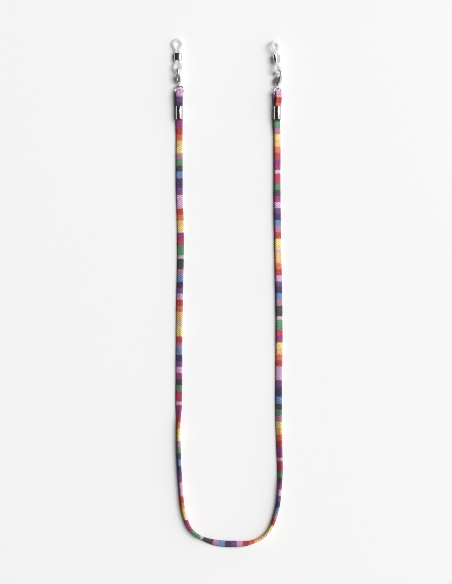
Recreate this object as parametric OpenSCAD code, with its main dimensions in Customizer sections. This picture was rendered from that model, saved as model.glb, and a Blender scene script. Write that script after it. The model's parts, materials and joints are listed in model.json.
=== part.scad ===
// Eyeglasses strap: a woven flat-oval cord, doubled over a jump ring and crimped at both ends,
// with a lobster clasp and a silicone temple loop on each ring. Millimetres.
//
// The strap lies flat on the plane Z = 0. The origin is the middle of the neck's underside,
// +Y runs from the neck to the glasses ends and +X to the right strand.
// Each side is drawn as a chain of steps, [length, turn in degrees], that starts at the origin.

/* [Cord] */
// Wide side of the flat-oval cord
cord_w = 4.2; // [3.8:0.1:4.4]
// Thin side of the cord
cord_t = 2.2; // [2.1:0.05:2.3]
// Thickness of the woven sheath
sheath_wall = 0.4; // [0.3:0.05:0.45]
// Room between the sheath and the filler
filler_gap = 0.05; // [0.03:0.01:0.08]
// Depth of the step that takes the corners off the cord's section
corner = 0.4; // [0.3:0.05:0.45]
// Room between two cord sections at a flex point
flex_gap = 0.1; // [0.05:0.01:0.15]
// Slope of the neck at its middle, falling to the right
neck_slope = 2; // [0:0.5:4]

/* [Left strand] */
// Length of the left half of the neck
left_neck_length = 10; // [9:0.5:12]
// Turn of the left half of the neck
left_neck_turn = 14.5; // [12:0.5:16]
// Lengths of the four arcs of the left bend
left_bend_lengths = [9, 11, 15, 57]; // [8:0.5:60]
// Turns of the four arcs of the left bend
left_bend_turns = [13.5, 39, 15.5, 6.5]; // [4:0.5:42]
// Lengths of the two arcs of the left lower run
left_lower_lengths = [33, 60]; // [30:1:65]
// Turns of the two arcs of the left lower run
left_lower_turns = [-1, 1.5]; // [-3:0.5:3]
// Lengths of the two arcs of the left upper run, before its straight end
left_upper_lengths = [45, 12]; // [10:1:50]
// Turn of the first arc of the left upper run: the second one brings the strand parallel to Y
left_upper_turn = -4; // [-4:0.5:3]

/* [Right strand] */
// Length of the right half of the neck
right_neck_length = 12; // [9:0.5:13]
// Turn of the right half of the neck
right_neck_turn = 6.5; // [5:0.5:9]
// Lengths of the four arcs of the right bend
right_bend_lengths = [11, 12, 21, 22]; // [8:0.5:30]
// Turns of the four arcs of the right bend
right_bend_turns = [25, 38, 19, 5.5]; // [4:0.5:42]
// Lengths of the two arcs of the right lower run
right_lower_lengths = [62, 58]; // [40:1:65]
// Turns of the two arcs of the right lower run
right_lower_turns = [-3, 2.5]; // [-3:0.5:3]
// Lengths of the two arcs of the right upper run, before its straight end
right_upper_lengths = [45, 12]; // [10:1:50]
// Turn of the first arc of the right upper run: the second one brings the strand parallel to Y
right_upper_turn = -1; // [-4:0.5:3]

/* [Crimped ends] */
// Distance from the neck to the lower end of the crimp sleeves
sleeve_y = 276.7; // [270:0.1:280]
// Length of a crimp sleeve
sleeve_length = 8.6; // [8:0.1:9]
// Outer diameter of a crimp sleeve
sleeve_d = 4.8; // [4.7:0.05:5]
// Wall of a crimp sleeve
sleeve_wall = 0.3; // [0.25:0.05:0.35]
// Length of the cord's tail inside the sleeve
tail_length = 6.6; // [5:0.1:8]
// Cord thickness where it is pressed double
fold_t = 2; // [1.9:0.05:2.1]
// Inner radius of the fold
fold_r = 0.8; // [0.75:0.05:0.9]
// Height of the left and the right fold's top above the neck
fold_tops = [296.3, 295.4]; // [295:0.1:297]
// Roll of the left and the right end about the strand
end_rolls = [0, 25]; // [0:1:25]

/* [Jump rings] */
// Radius of the ring to the middle of its wire
ring_r = 2.7; // [2.6:0.05:2.8]
// Thickness of the ring wire
ring_wire = 0.75; // [0.7:0.05:0.8]
// Height of the left and the right ring's centre above the neck
ring_ys = [295.8, 294.5]; // [294:0.1:296]
// Opening angle of the ring's split
ring_split = 2; // [1:0.5:3]

/* [Lobster clasps] */
// Thickness of the clasp body at the rivet
body_t = 2.4; // [2.3:0.05:2.5]
// Thickness of the hook
hook_t = 1.3; // [1.2:0.05:1.4]
// Width of the hook's bow
hook_w = 0.95; // [0.9:0.05:1]
// Inner radius of the hook
hook_r = 1.55; // [1.5:0.05:1.6]
// Distance from the tail eye to the middle of the hook
hook_y = 9.15; // [9.05:0.05:9.3]
// Distance from the tail eye to the rivet
rivet_y = 4.4; // [4.35:0.05:4.45]
// Thickness of the lever
lever_t = 0.7; // [0.6:0.05:0.75]
// Roll of the left and the right clasp about its own length, 0 being face up
clasp_rolls = [-100, -30]; // [-105:1:-28]
// Lean of the left and the right clasp to the left
clasp_leans = [4, -3]; // [-4:1:5]
// Rise of the left and the right clasp towards its hook
clasp_rises = [0, -1]; // [-1:0.5:0]

/* [Silicone loops] */
// Diameter of the silicone strand
strand_d = 2.2; // [2.15:0.05:2.25]
// Length of the loop between the middles of its end bows
loop_length = 20.5; // [20:0.1:21]
// Radius of the temple eye to the middle of the strand
eye_r = 2.7; // [2.65:0.05:2.75]
// Radius of the hook eye to the middle of the strand
hook_eye_r = 2.45; // [2.4:0.05:2.5]
// Radius of the round land that grips the temple arm
land_r = 1.65; // [1.6:0.05:1.7]
// Length of the sliding ferrule
ferrule_length = 4.6; // [4.4:0.1:4.8]
// Wall of the ferrule
ferrule_wall = 0.22; // [0.2:0.01:0.25]
// Distance from the hook to the ferrule along the loop
ferrule_y = 7.1; // [7:0.05:7.2]
// Roll of the left and the right loop about its own length
loop_rolls = [0, 45]; // [0:1:45]
// Lean of the left and the right loop to the left
loop_leans = [2, 6]; // [0:1:8]
// Rise of the left and the right loop towards the temple eye
loop_rises = [-4.5, 0.3]; // [-4.5:0.1:0.5]

/* [Hidden] */
$fn = 64;
LEFT = 0;
RIGHT = 1;
EPS = 0.01;
BEYOND = 20;
FACET_TURN = 5;
FLAT = false;
ON_EDGE = true;
knuckle_r = cord_w / 2 + 0.2;
socket_r = knuckle_r + flex_gap;
sleeve_r = sleeve_d / 2;
bore_r = sleeve_r - sleeve_wall;
clamp_gap = 0.05;
pressed_r = bore_r - clamp_gap;
lap = 1.2;
fold_out_r = fold_r + fold_t;
wire_r = ring_wire / 2;
bearing_l = 0.4;
steel = "lightgrey";
dark_steel = "dimgrey";
silicone = "ghostwhite";
filler = "ivory";

// Clasp: the tail eye, the lever's slot and the rivet
tail_hole_r = 1;
tail_rim = 0.5;
tail_t = 0.8;
wire_offset = 0.4;
slot_t = 1.2;
rivet_r = 0.45;
rivet_head_r = 0.8;
rivet_head_t = 0.18;
running_gap = 0.04;
hook_tip_angle = 215;
seat_gap = 0.15;
seat_y = hook_y + hook_r - seat_gap - strand_d / 2;
hub_r = 0.95;
lever_reach = 3.72;
lever_z = -0.2;
spring_z = 0.25;
spring_wire = 0.25;
spring_r = 0.55;

// Loop: the strands lie side by side in the ferrule, then spread into the two eyes
strand_gap = 0.04;
pair_x = (strand_d + strand_gap) / 2;
ferrule_gap = 0.14;
seat_l = 2;
seat_r = strand_d / 2 + 0.05;
eye_flare = 30;
eye_flare_r = 3;
hook_flare = 25;
hook_flare_r = 2;

// ---- Steps of a route: each turns an arc or, with no turn, runs straight ----

// Length of an arc from its radius and turn
function arc_length(r, turn) = r * abs(turn) * PI / 180;
// Pairs of lengths and turns as steps
function steps_of(lengths, turns) = [for (i = [0 : len(lengths) - 1]) [lengths[i], turns[i]]];
// Sum of the turns of the first n steps
function turned(steps, n) = n == 0 ? 0 : steps[n - 1][1] + turned(steps, n - 1);
// Pose [x, y, heading] at the end of one step
function stepped(pose, s) =
    abs(s[1]) < EPS
        ? [pose[0] + s[0] * cos(pose[2]), pose[1] + s[0] * sin(pose[2]), pose[2]]
        : let (r = s[0] / s[1] * 180 / PI)
          [pose[0] + r * (sin(pose[2] + s[1]) - sin(pose[2])),
           pose[1] - r * (cos(pose[2] + s[1]) - cos(pose[2])),
           pose[2] + s[1]];
// Pose at the end of the first n steps
function pose_after(start, steps, n) =
    n == 0 ? start : stepped(pose_after(start, steps, n - 1), steps[n - 1]);

// A side starts at the origin. The left one is drawn to the right and then mirrored
starts = [[0, 0, neck_slope], [0, 0, -neck_slope]];
open_routes = [
    concat([[left_neck_length, left_neck_turn]],
           steps_of(left_bend_lengths, left_bend_turns),
           steps_of(left_lower_lengths, left_lower_turns),
           [[left_upper_lengths[0], left_upper_turn]]),
    concat([[right_neck_length, right_neck_turn]],
           steps_of(right_bend_lengths, right_bend_turns),
           steps_of(right_lower_lengths, right_lower_turns),
           [[right_upper_lengths[0], right_upper_turn]])
];
neck_steps = 1;
bend_steps = 5;
lower_steps = 7;
last_arc_lengths = [left_upper_lengths[1], right_upper_lengths[1]];
function closing_turn(side) =
    90 - starts[side][2] - turned(open_routes[side], len(open_routes[side]));
function curved_route(side) = concat(open_routes[side], [[last_arc_lengths[side], closing_turn(side)]]);
function curve_end(side) = pose_after(starts[side], curved_route(side), len(curved_route(side)));
// The whole route up to the sleeve
function route(side) = concat(curved_route(side), [[sleeve_y - curve_end(side)[1], 0]]);
function route_pose(side, n) = pose_after(starts[side], route(side), n);
function strand_x(side) = (side == LEFT ? -1 : 1) * curve_end(side)[0];
// Half height of a fold that is rolled over onto its edge
function rolled_height(roll) = (cord_w / 2 - corner) * sin(roll) + fold_out_r * cos(roll);
function fold_z(side) = rolled_height(end_rolls[side]);
function fold_y(side) = fold_tops[side] - fold_out_r;

// ---- Placing ----

// Draws a side's route: the left one is mirrored
module on_side(side) {
    if (side == LEFT) mirror([1, 0, 0]) children();
    else children();
}

// Moves to a pose [x, y, heading], with +X along the heading
module at_pose(pose) {
    translate([pose[0], pose[1], 0]) rotate([0, 0, pose[2]]) children();
}

// Lean, rise and roll of a part that points along +Y
module aimed(lean, rise, roll) {
    rotate([0, 0, lean]) rotate([rise, 0, 0]) rotate([0, roll, 0]) children();
}

// Frame of a crimped end, on the axis of the sleeve
module sleeve_frame(side) {
    translate([strand_x(side), sleeve_y, fold_z(side)]) rotate([0, end_rolls[side], 0]) children();
}

// Frame of the fold, on the axis that the ring swings about
module fold_frame(side) {
    translate([strand_x(side), fold_y(side), fold_z(side)]) rotate([0, end_rolls[side], 0]) children();
}

// Frame of the jump ring, on its centre
module ring_frame(side) {
    translate([strand_x(side), ring_ys[side], fold_z(side)]) rotate([0, end_rolls[side], 0]) children();
}

// Frame of the clasp, on the centre of its tail eye, with the hook towards +Y and the gate at -X
module clasp_frame(side) {
    translate([strand_x(side), ring_ys[side] + ring_r, fold_z(side)])
        aimed(clasp_leans[side], clasp_rises[side], clasp_rolls[side])
            translate([0, wire_offset, 0]) children();
}

// Where the loop sits in the hook
function seat(side) =
    let (r = wire_offset + seat_y, lean = clasp_leans[side], rise = clasp_rises[side])
    [strand_x(side) - r * cos(rise) * sin(lean),
     ring_ys[side] + ring_r + r * cos(rise) * cos(lean),
     fold_z(side) + r * sin(rise)];

// Frame of the silicone loop, on the middle of its hook bow, with the temple eye towards +Y
module loop_frame(side) {
    translate(seat(side)) aimed(loop_leans[side], loop_rises[side], loop_rolls[side]) children();
}

// ---- Ribbons: a route seen from above, with a width ----

// Poses along steps first to last of a route, close enough together for its turns
function poses_of(start, steps, first, last) = concat(
    [pose_after(start, steps, first)],
    [for (i = [first : last])
        let (from = pose_after(start, steps, i), n = max(1, ceil(abs(steps[i][1]) / FACET_TURN)))
        for (k = [1 : n]) stepped(from, steps[i] * k / n)]
);
// Poses of a run of cord, from step first to step last of its side
function run_poses(side, first, last) = poses_of(starts[side], route(side), first, last);
function reversed(list) = [for (i = [len(list) - 1 : -1 : 0]) list[i]];
// A list of poses with a straight lead-in and lead-out
function with_leads(poses, lead_in, lead_out) = concat(
    [stepped(poses[0], [-lead_in, 0])], poses, [stepped(poses[len(poses) - 1], [lead_out, 0])]
);
// Points beside a list of poses, a distance d to its left
function beside(poses, d) = [for (p = poses) [p[0] - d * sin(p[2]), p[1] + d * cos(p[2])]];

module ribbon(poses, width) {
    polygon(concat(beside(poses, width / 2), reversed(beside(poses, -width / 2))));
}

// Cord along a list of poses, resting on Z = 0, with its corners stepped off, shrunk by inset
module cord(poses, on_edge, inset) {
    w = (on_edge ? cord_t : cord_w) - 2 * inset;
    h = on_edge ? cord_w : cord_t;
    translate([0, 0, inset]) linear_extrude(h - 2 * inset) ribbon(poses, w - 2 * corner);
    translate([0, 0, corner + inset]) linear_extrude(h - 2 * corner - 2 * inset) ribbon(poses, w);
}

// ---- Trimming the ends of a run ----

// Everything on the far side of a pose, ahead of its heading
module ahead(pose) {
    at_pose(pose) translate([0, -BEYOND / 2, -BEYOND / 2]) cube(BEYOND);
}

module upright_round(pose, r) {
    at_pose(pose) translate([0, 0, -BEYOND / 2]) cylinder(r = r, h = BEYOND);
}

// Round about the top edge of a flat run, which it folds up about
module fold_round(pose, r) {
    at_pose(pose) translate([0, 0, cord_t]) rotate([90, 0, 0]) cylinder(r = r, h = BEYOND, center = true);
}

// What a flat run loses at a flex point to end in a round knuckle
module knuckle_trim(pose) {
    difference() {
        ahead(pose);
        upright_round(pose, knuckle_r);
    }
}

// ---- Cord sections: drawn at inset 0 for the outside and at the wall for the hollow ----

// Pose of a left one, mirrored and turned round to lead up to the origin
function facing_origin(pose) = [-pose[0], pose[1], -pose[2]];
neck_poses = concat(
    reversed([for (p = run_poses(LEFT, 0, neck_steps - 1)) facing_origin(p)]),
    [for (i = [1 : len(run_poses(RIGHT, 0, neck_steps - 1)) - 1]) run_poses(RIGHT, 0, neck_steps - 1)[i]]
);

module neck_shape(inset) {
    difference() {
        cord(with_leads(neck_poses, socket_r, socket_r), FLAT, inset);
        for (side = [LEFT, RIGHT]) on_side(side) knuckle_trim(route_pose(side, neck_steps));
    }
}

module bend_shape(side, inset) {
    on_side(side) difference() {
        cord(run_poses(side, neck_steps, bend_steps - 1), ON_EDGE, inset);
        upright_round(route_pose(side, neck_steps), socket_r);
        upright_round(route_pose(side, bend_steps), socket_r);
    }
}

module lower_shape(side, inset) {
    begin = route_pose(side, bend_steps);
    end = route_pose(side, lower_steps);
    on_side(side) difference() {
        cord(with_leads(run_poses(side, bend_steps, lower_steps - 1), socket_r, 2 * cord_t), FLAT, inset);
        knuckle_trim([begin[0], begin[1], begin[2] + 180]);
        difference() {
            ahead(end);
            fold_round(end, cord_t);
        }
    }
}

// Half of the round pressed cord inside the sleeve: layer is -1 at the back and 1 at the front
module pressed_half(layer, from, to, inset) {
    intersection() {
        translate([0, from + inset, 0]) rotate([-90, 0, 0])
            cylinder(r = pressed_r - inset, h = to - from - 2 * inset);
        translate([-BEYOND / 2, -BEYOND / 2, layer > 0 ? clamp_gap / 2 + inset : -BEYOND - clamp_gap / 2 - inset])
            cube([BEYOND, 2 * BEYOND, BEYOND]);
    }
}

// Side view of the cord over the ring: a half ring with two legs down to from
module fold_band(r_in, r_out, from) {
    difference() {
        union() {
            circle(r = r_out);
            translate([from, -r_out]) square([-from, 2 * r_out]);
        }
        circle(r = r_in);
        translate([from - 1, -r_in]) square([1 - from, 2 * r_in]);
    }
}

module fold_block(side, inset) {
    from = sleeve_y + sleeve_length - fold_y(side) + clamp_gap + inset;
    rotate([90, 0, 90]) {
        linear_extrude(cord_w - 2 * corner - 2 * inset, center = true)
            fold_band(fold_r + inset, fold_out_r - inset, from);
        linear_extrude(cord_w - 2 * inset, center = true)
            fold_band(fold_r + corner + inset, fold_out_r - corner - inset, from);
    }
}

// The back layer runs up through the sleeve, over the ring and back down into the sleeve
module upper_shape(side, inset) {
    first = lower_steps;
    last = len(route(side)) - 1;
    on_side(side) difference() {
        cord(run_poses(side, first, last), FLAT, inset);
        fold_round(route_pose(side, first), cord_t + flex_gap);
        translate([0, -clamp_gap - inset, 0]) ahead(route_pose(side, last + 1));
    }
    sleeve_frame(side) {
        pressed_half(-1, -lap, sleeve_length + lap, inset);
        pressed_half(1, sleeve_length - tail_length, sleeve_length + lap, inset);
    }
    fold_frame(side) fold_block(side, inset);
}

// ---- Nodes ----

module sheath_colour() {
    color("mediumorchid") children();
}

module neck_sheath() {
    sheath_colour() difference() {
        neck_shape(0);
        neck_shape(sheath_wall);
    }
}

module neck_filler() {
    color(filler) neck_shape(sheath_wall + filler_gap);
}

module bend_sheath(side) {
    sheath_colour() difference() {
        bend_shape(side, 0);
        bend_shape(side, sheath_wall);
    }
}

module bend_filler(side) {
    color(filler) bend_shape(side, sheath_wall + filler_gap);
}

module lower_sheath(side) {
    sheath_colour() difference() {
        lower_shape(side, 0);
        lower_shape(side, sheath_wall);
    }
}

module lower_filler(side) {
    color(filler) lower_shape(side, sheath_wall + filler_gap);
}

module upper_sheath(side) {
    sheath_colour() difference() {
        upper_shape(side, 0);
        upper_shape(side, sheath_wall);
    }
}

module upper_filler(side) {
    color(filler) upper_shape(side, sheath_wall + filler_gap);
}

module crimp_sleeve(side) {
    color(steel) sleeve_frame(side) rotate([-90, 0, 0]) difference() {
        cylinder(r = sleeve_r, h = sleeve_length);
        translate([0, 0, -EPS]) cylinder(r = bore_r, h = sleeve_length + 2 * EPS);
    }
}

// Wire ring, with a short straight bearing at its top for the clasp's eye
module jump_ring(side) {
    color(steel) ring_frame(side) {
        rotate_extrude(angle = 360 - ring_split, start = ring_split / 2)
            translate([ring_r, 0]) circle(r = wire_r);
        translate([0, ring_r, 0]) rotate([0, 90, 0]) cylinder(r = wire_r + EPS, h = bearing_l, center = true);
    }
}

// Outline of the plate round the rivet, from the tail to the foot of the spine
module plate_outline() {
    body_r = 1.85;
    spine_x = hook_r + hook_w;
    translate([0, rivet_y]) circle(r = body_r);
    polygon([[-0.75, 1], [0.75, 1], [body_r, rivet_y], [spine_x, rivet_y + 2], [spine_x, rivet_y + 3.2],
             [hook_r, rivet_y + 3.2], [hook_r - 0.35, rivet_y + 1.9], [0, rivet_y + 1.6], [-body_r, rivet_y]]);
}

// Rectangle with two half-round ends, w wide and h high
module stadium(w, h) {
    square([w - h, h], center = true);
    for (x = [-1, 1]) translate([x * (w - h) / 2, 0]) circle(d = h);
}

// Bow of the hook with its spine down to the plate
module hook() {
    spine_x = hook_r + hook_w / 2;
    translate([0, hook_y, 0]) {
        rotate_extrude(angle = hook_tip_angle) translate([spine_x, 0]) rotate(90) stadium(hook_t, hook_w);
        translate([spine_x, 0, 0]) rotate([90, 0, 0]) linear_extrude(hook_y - rivet_y - 2)
            rotate(90) stadium(hook_t, hook_w);
    }
}

module clasp_body(side) {
    slot_floor = 1.1;
    slot_top = 2.3;
    slot_wall_x = 1.15;
    neck_w = 1.2;
    neck_l = 1.6;
    color(steel) clasp_frame(side) difference() {
        union() {
            translate([0, 0, -tail_t / 2]) cylinder(r = tail_hole_r + tail_rim, h = tail_t);
            translate([0, 0, -body_t / 2]) linear_extrude(body_t) difference() {
                plate_outline();
                circle(r = tail_hole_r + 1.5 * tail_rim);
            }
            translate([-neck_w / 2, tail_hole_r + tail_rim / 2, -tail_t / 2]) cube([neck_w, neck_l, tail_t]);
            hook();
        }
        translate([0, 0, -body_t]) cylinder(r = tail_hole_r, h = 2 * body_t);
        translate([slot_wall_x - BEYOND, rivet_y - slot_floor, -slot_t / 2])
            cube([BEYOND, slot_floor + slot_top, slot_t]);
        translate([0, rivet_y, -body_t]) cylinder(r = rivet_r + EPS, h = 2 * body_t);
    }
}

// Lever about the rivet: hub, gate arm and thumb tab
module clasp_lever(side) {
    lean = 26;
    root = 0.5;
    tip = 0.32;
    tab = [-2.2, 0.75];
    tab_r = 0.45;
    color(dark_steel) clasp_frame(side) translate([0, rivet_y, lever_z - lever_t / 2]) difference() {
        union() {
            cylinder(r = hub_r, h = lever_t);
            intersection() {
                cylinder(r = lever_reach, h = lever_t);
                rotate([0, 0, lean]) linear_extrude(lever_t)
                    polygon([[-root, 0], [-tip, 2 * lever_reach], [tip, 2 * lever_reach], [root, 0]]);
            }
            linear_extrude(lever_t)
                polygon([[-0.2, -0.8], [tab[0], tab[1] - 0.4], [tab[0], tab[1] + 0.4], [-0.7, 1.5], [0, 0.7]]);
            translate(tab) cylinder(r = tab_r, h = lever_t);
        }
        translate([0, 0, -lever_t]) cylinder(r = rivet_r + running_gap, h = 3 * lever_t);
    }
}

module clasp_rivet(side) {
    color(steel) clasp_frame(side) translate([0, rivet_y, 0]) {
        cylinder(r = rivet_r, h = body_t + 2 * rivet_head_t, center = true);
        for (z = [-1, 1])
            translate([0, 0, z * (body_t + rivet_head_t) / 2 + z * EPS])
                cylinder(r = rivet_head_r, h = rivet_head_t, center = true);
    }
}

// Flat torsion spring beside the lever: a coil round the rivet, with a leg hooked over the gate
module lever_spring(side) {
    leg = 1.8;
    lean = 26;
    color(dark_steel) clasp_frame(side) translate([0, rivet_y, spring_z]) rotate([0, 0, lean]) {
        linear_extrude(spring_wire) difference() {
            union() {
                circle(r = spring_r + spring_wire);
                translate([spring_r, 0]) square([spring_wire, leg]);
            }
            circle(r = spring_r);
        }
        translate([spring_r, leg - spring_wire, -lever_t]) cube([spring_wire, spring_wire, lever_t + EPS]);
    }
}

// Length of the straight between an eye's bow and its flare, and the eye's whole length
function flare_run(r, flare, flare_r) =
    (r * cos(flare) - pair_x - flare_r * (1 - cos(flare))) / sin(flare);
function eye_length(r, flare, flare_r) =
    r * (1 + sin(flare)) + flare_run(r, flare, flare_r) * cos(flare) + flare_r * sin(flare);
pair_length = loop_length - eye_length(hook_eye_r, hook_flare, hook_flare_r)
    - eye_length(eye_r, eye_flare, eye_flare_r);
// Steps of half a loop, from the middle of the hook bow to the middle of the temple bow
half_loop = [
    [arc_length(hook_eye_r, 90 + hook_flare), 90 + hook_flare],
    [flare_run(hook_eye_r, hook_flare, hook_flare_r), 0],
    [arc_length(hook_flare_r, hook_flare), -hook_flare],
    [pair_length, 0],
    [arc_length(eye_flare_r, eye_flare), -eye_flare],
    [flare_run(eye_r, eye_flare, eye_flare_r), 0],
    [arc_length(eye_r, 90 + eye_flare), 90 + eye_flare]
];
half_loop_poses = poses_of([0, 0, 0], half_loop, 0, len(half_loop) - 1);

// The area between the two halves of a loop's line, grown by d
module loop_area(d) {
    edge = beside(half_loop_poses, -d);
    polygon(concat(edge, reversed([for (p = edge) [-p[0], p[1]]])));
}

module loop_outline(width) {
    difference() {
        loop_area(width / 2);
        loop_area(-width / 2);
    }
}

// The round strand is drawn as three layers of its line, wide and low to narrow and high,
// with a round seat where it turns in the hook and a round land where it grips the temple arm
module silicone_loop(side) {
    step = strand_d * 0.78;
    tip = strand_d * 0.475;
    color(silicone) loop_frame(side) difference() {
        for (layer = [[strand_d, tip], [step, step], [tip, strand_d]])
            linear_extrude(layer[1], center = true) loop_outline(layer[0]);
        translate([0, loop_length - eye_r, -strand_d]) cylinder(r = land_r, h = 2 * strand_d);
        rotate([0, 90, 0]) difference() {
            cylinder(r = strand_d, h = seat_l, center = true);
            cylinder(r = seat_r, h = 2 * seat_l, center = true);
        }
    }
}

module loop_ferrule(side) {
    inner_w = 2 * pair_x + strand_d + 2 * ferrule_gap;
    inner_h = strand_d + 2 * ferrule_gap;
    color(steel) loop_frame(side) translate([0, ferrule_y, 0]) rotate([-90, 0, 0])
        linear_extrude(ferrule_length) difference() {
            stadium(inner_w + 2 * ferrule_wall, inner_h + 2 * ferrule_wall);
            stadium(inner_w, inner_h);
        }
}

neck_sheath();
neck_filler();
bend_sheath(LEFT);  // left_bend_sheath
bend_filler(LEFT);  // left_bend_filler
bend_sheath(RIGHT);  // right_bend_sheath
bend_filler(RIGHT);  // right_bend_filler
lower_sheath(LEFT);  // left_lower_sheath
lower_filler(LEFT);  // left_lower_filler
lower_sheath(RIGHT);  // right_lower_sheath
lower_filler(RIGHT);  // right_lower_filler
upper_sheath(LEFT);  // left_upper_sheath
upper_filler(LEFT);  // left_upper_filler
upper_sheath(RIGHT);  // right_upper_sheath
upper_filler(RIGHT);  // right_upper_filler
crimp_sleeve(LEFT);  // left_crimp_sleeve
crimp_sleeve(RIGHT);  // right_crimp_sleeve
jump_ring(LEFT);  // left_jump_ring
jump_ring(RIGHT);  // right_jump_ring
clasp_body(LEFT);  // left_clasp_body
clasp_body(RIGHT);  // right_clasp_body
clasp_lever(LEFT);  // left_clasp_lever
clasp_lever(RIGHT);  // right_clasp_lever
clasp_rivet(LEFT);  // left_clasp_rivet
clasp_rivet(RIGHT);  // right_clasp_rivet
lever_spring(LEFT);  // left_lever_spring
lever_spring(RIGHT);  // right_lever_spring
silicone_loop(LEFT);  // left_silicone_loop
silicone_loop(RIGHT);  // right_silicone_loop
loop_ferrule(LEFT);  // left_loop_ferrule
loop_ferrule(RIGHT);  // right_loop_ferrule
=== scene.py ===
"""Looks of a woven eyeglasses strap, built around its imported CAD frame."""
import json
import math

import bpy
import numpy as np
from mathutils import Matrix, Vector


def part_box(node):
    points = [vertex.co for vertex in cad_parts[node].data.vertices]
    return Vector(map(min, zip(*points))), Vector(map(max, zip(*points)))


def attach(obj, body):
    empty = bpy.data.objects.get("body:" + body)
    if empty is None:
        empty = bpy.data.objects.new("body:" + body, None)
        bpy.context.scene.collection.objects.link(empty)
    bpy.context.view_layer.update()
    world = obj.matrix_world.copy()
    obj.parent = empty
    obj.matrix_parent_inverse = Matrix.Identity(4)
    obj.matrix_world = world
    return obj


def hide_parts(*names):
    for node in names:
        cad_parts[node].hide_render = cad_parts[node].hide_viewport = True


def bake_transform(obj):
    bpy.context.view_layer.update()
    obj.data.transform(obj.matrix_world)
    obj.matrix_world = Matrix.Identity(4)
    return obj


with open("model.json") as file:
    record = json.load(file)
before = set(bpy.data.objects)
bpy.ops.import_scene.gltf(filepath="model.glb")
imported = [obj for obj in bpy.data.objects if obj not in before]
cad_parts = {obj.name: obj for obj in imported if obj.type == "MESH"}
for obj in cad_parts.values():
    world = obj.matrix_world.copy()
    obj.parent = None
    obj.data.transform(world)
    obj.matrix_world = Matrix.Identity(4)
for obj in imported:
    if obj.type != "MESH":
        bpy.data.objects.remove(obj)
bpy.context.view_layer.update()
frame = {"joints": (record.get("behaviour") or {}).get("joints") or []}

# Shapes are worked out in millimetres and turned into metres when a mesh is made
MM = 0.001
SIDES = ("left", "right")
X_AXIS, Y_AXIS, Z_AXIS = np.eye(3)

# ---------------------------------------------------------------- sizes

# Steps of each half of the strap from the middle of the neck: length, turn in degrees
STEPS = {
    "left": ((10, 14.5), (9, 13.5), (11, 39), (15, 15.5), (57, 6.5), (33, -1), (60, 1.5), (45, -4)),
    "right": ((12, 6.5), (11, 25), (12, 38), (21, 19), (22, 5.5), (62, -3), (58, 2.5), (45, -1)),
}
# Length of the last turn, which brings each half parallel to Y, and the neck's slope in degrees
CLOSING_ARC = 12
NECK_SLOPE = 2
# How many steps come before each hinge
NECK_STEPS, BEND_STEPS, LOWER_STEPS = 1, 5, 7

# Roll of the cord about its own length: distance from the neck's middle, degrees outwards
ROLLS = {
    "left": ((0, 0), (6, 12), (13, 55), (20, 90), (90, 90), (96, 80), (108, 22), (130, 20), (175, 22),
             (197, 17), (222, 8), (248, 1), (274, 3), (286, 8), (294, 0)),
    "right": ((0, 0), (6, -12), (12, -50), (19, -90), (58, -90), (71, -48), (84, -42), (98, -33), (111, -22),
              (137, -10), (158, 14), (189, 20), (215, 15), (241, 22), (267, 21), (293, 23), (301, 25)),
}
CORD_W, CORD_T = 4.2, 2.2
# The cord's mesh: spacing of its rings of points, points in each, and how square its section is
RING_SPACING = 0.16
AROUND = 56
SQUARENESS = 2.7
# Half the number of rings that the roll is blurred over
ROLL_BLUR = 20

# Twill: rib pitch along the cord, ribs round it, and height of the ribs
RIB_PITCH = 1.3
RIBS_AROUND = 5
RIB_HEIGHT = 0.1

# Seam down the back: its place as a share of the way round, its groove and its stitches
SEAM_AT = 0.75
GROOVE_DEPTH, GROOVE_W = 0.16, 0.22
STITCH_PITCH, STITCH_HEIGHT, STITCH_W = 1.9, 0.15, 0.3

# How far the cord bends smoothly to each side of its three hinges
NECK_REACH, BEND_REACH, LOWER_REACH = 5, 7, 2.6

# Crimped ends: the sleeve, the cord's tail in it, and the fold over the ring
SLEEVE_L, SLEEVE_R, SLEEVE_WALL = 8.6, 2.4, 0.3
SLEEVE_CORNER, SLEEVE_SHRINK, SLEEVE_JOINT = 0.13, 0.02, 1.6
BEAD_HEIGHT, BEAD_W, BEAD_IN = 0.05, 0.16, 0.25
TAIL_L = 6.6
FOLD_T, FOLD_R = 2.0, 0.8
LAYER_R = FOLD_R + FOLD_T / 2
# Half the distance between the two layers in the sleeve
PRESSED = 1.04
# Length over which the strand rises from the floor to the sleeve
SETTLE = 12
# Length over which the cord springs open past each mouth, by how much, and its play in the bore
MOUTH, SPRING_OPEN, BORE_PLAY = 2.6, 1.5, 0.03

# One repeat of the striped weave, in the direction down the left strand and up the right one
REPEAT = (
    ("plum", 7.2), ("red", 3.9), ("orange", 4.1), ("apricot", 4.1), ("yellow", 4.0), ("pink", 3.9),
    ("green", 4.2), ("charcoal", 3.7), ("blue", 4.6), ("indigo", 5.9), ("violet", 4.8), ("lilac", 9.0),
    ("red", 3.9), ("orange", 3.9), ("apricot", 4.0), ("yellow", 3.9), ("plum", 4.2), ("crimson", 3.9),
    ("green", 6.8), ("white", 2.2), ("charcoal", 6.7), ("pink", 4.0), ("blue", 4.2), ("indigo", 4.2),
    ("violet", 3.5), ("lilac", 4.0), ("red", 4.0), ("orange", 4.0), ("apricot", 6.9), ("white", 2.1),
    ("yellow", 6.9), ("red", 4.2), ("pink", 4.0), ("blue", 3.9), ("indigo", 4.3), ("violet", 3.5),
    ("lilac", 4.0), ("plum", 4.0), ("charcoal", 3.9), ("green", 4.0), ("crimson", 6.7), ("white", 2.3),
)
# Height on the left strand where a repeat starts
REPEAT_START_Y = 90.6
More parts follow.
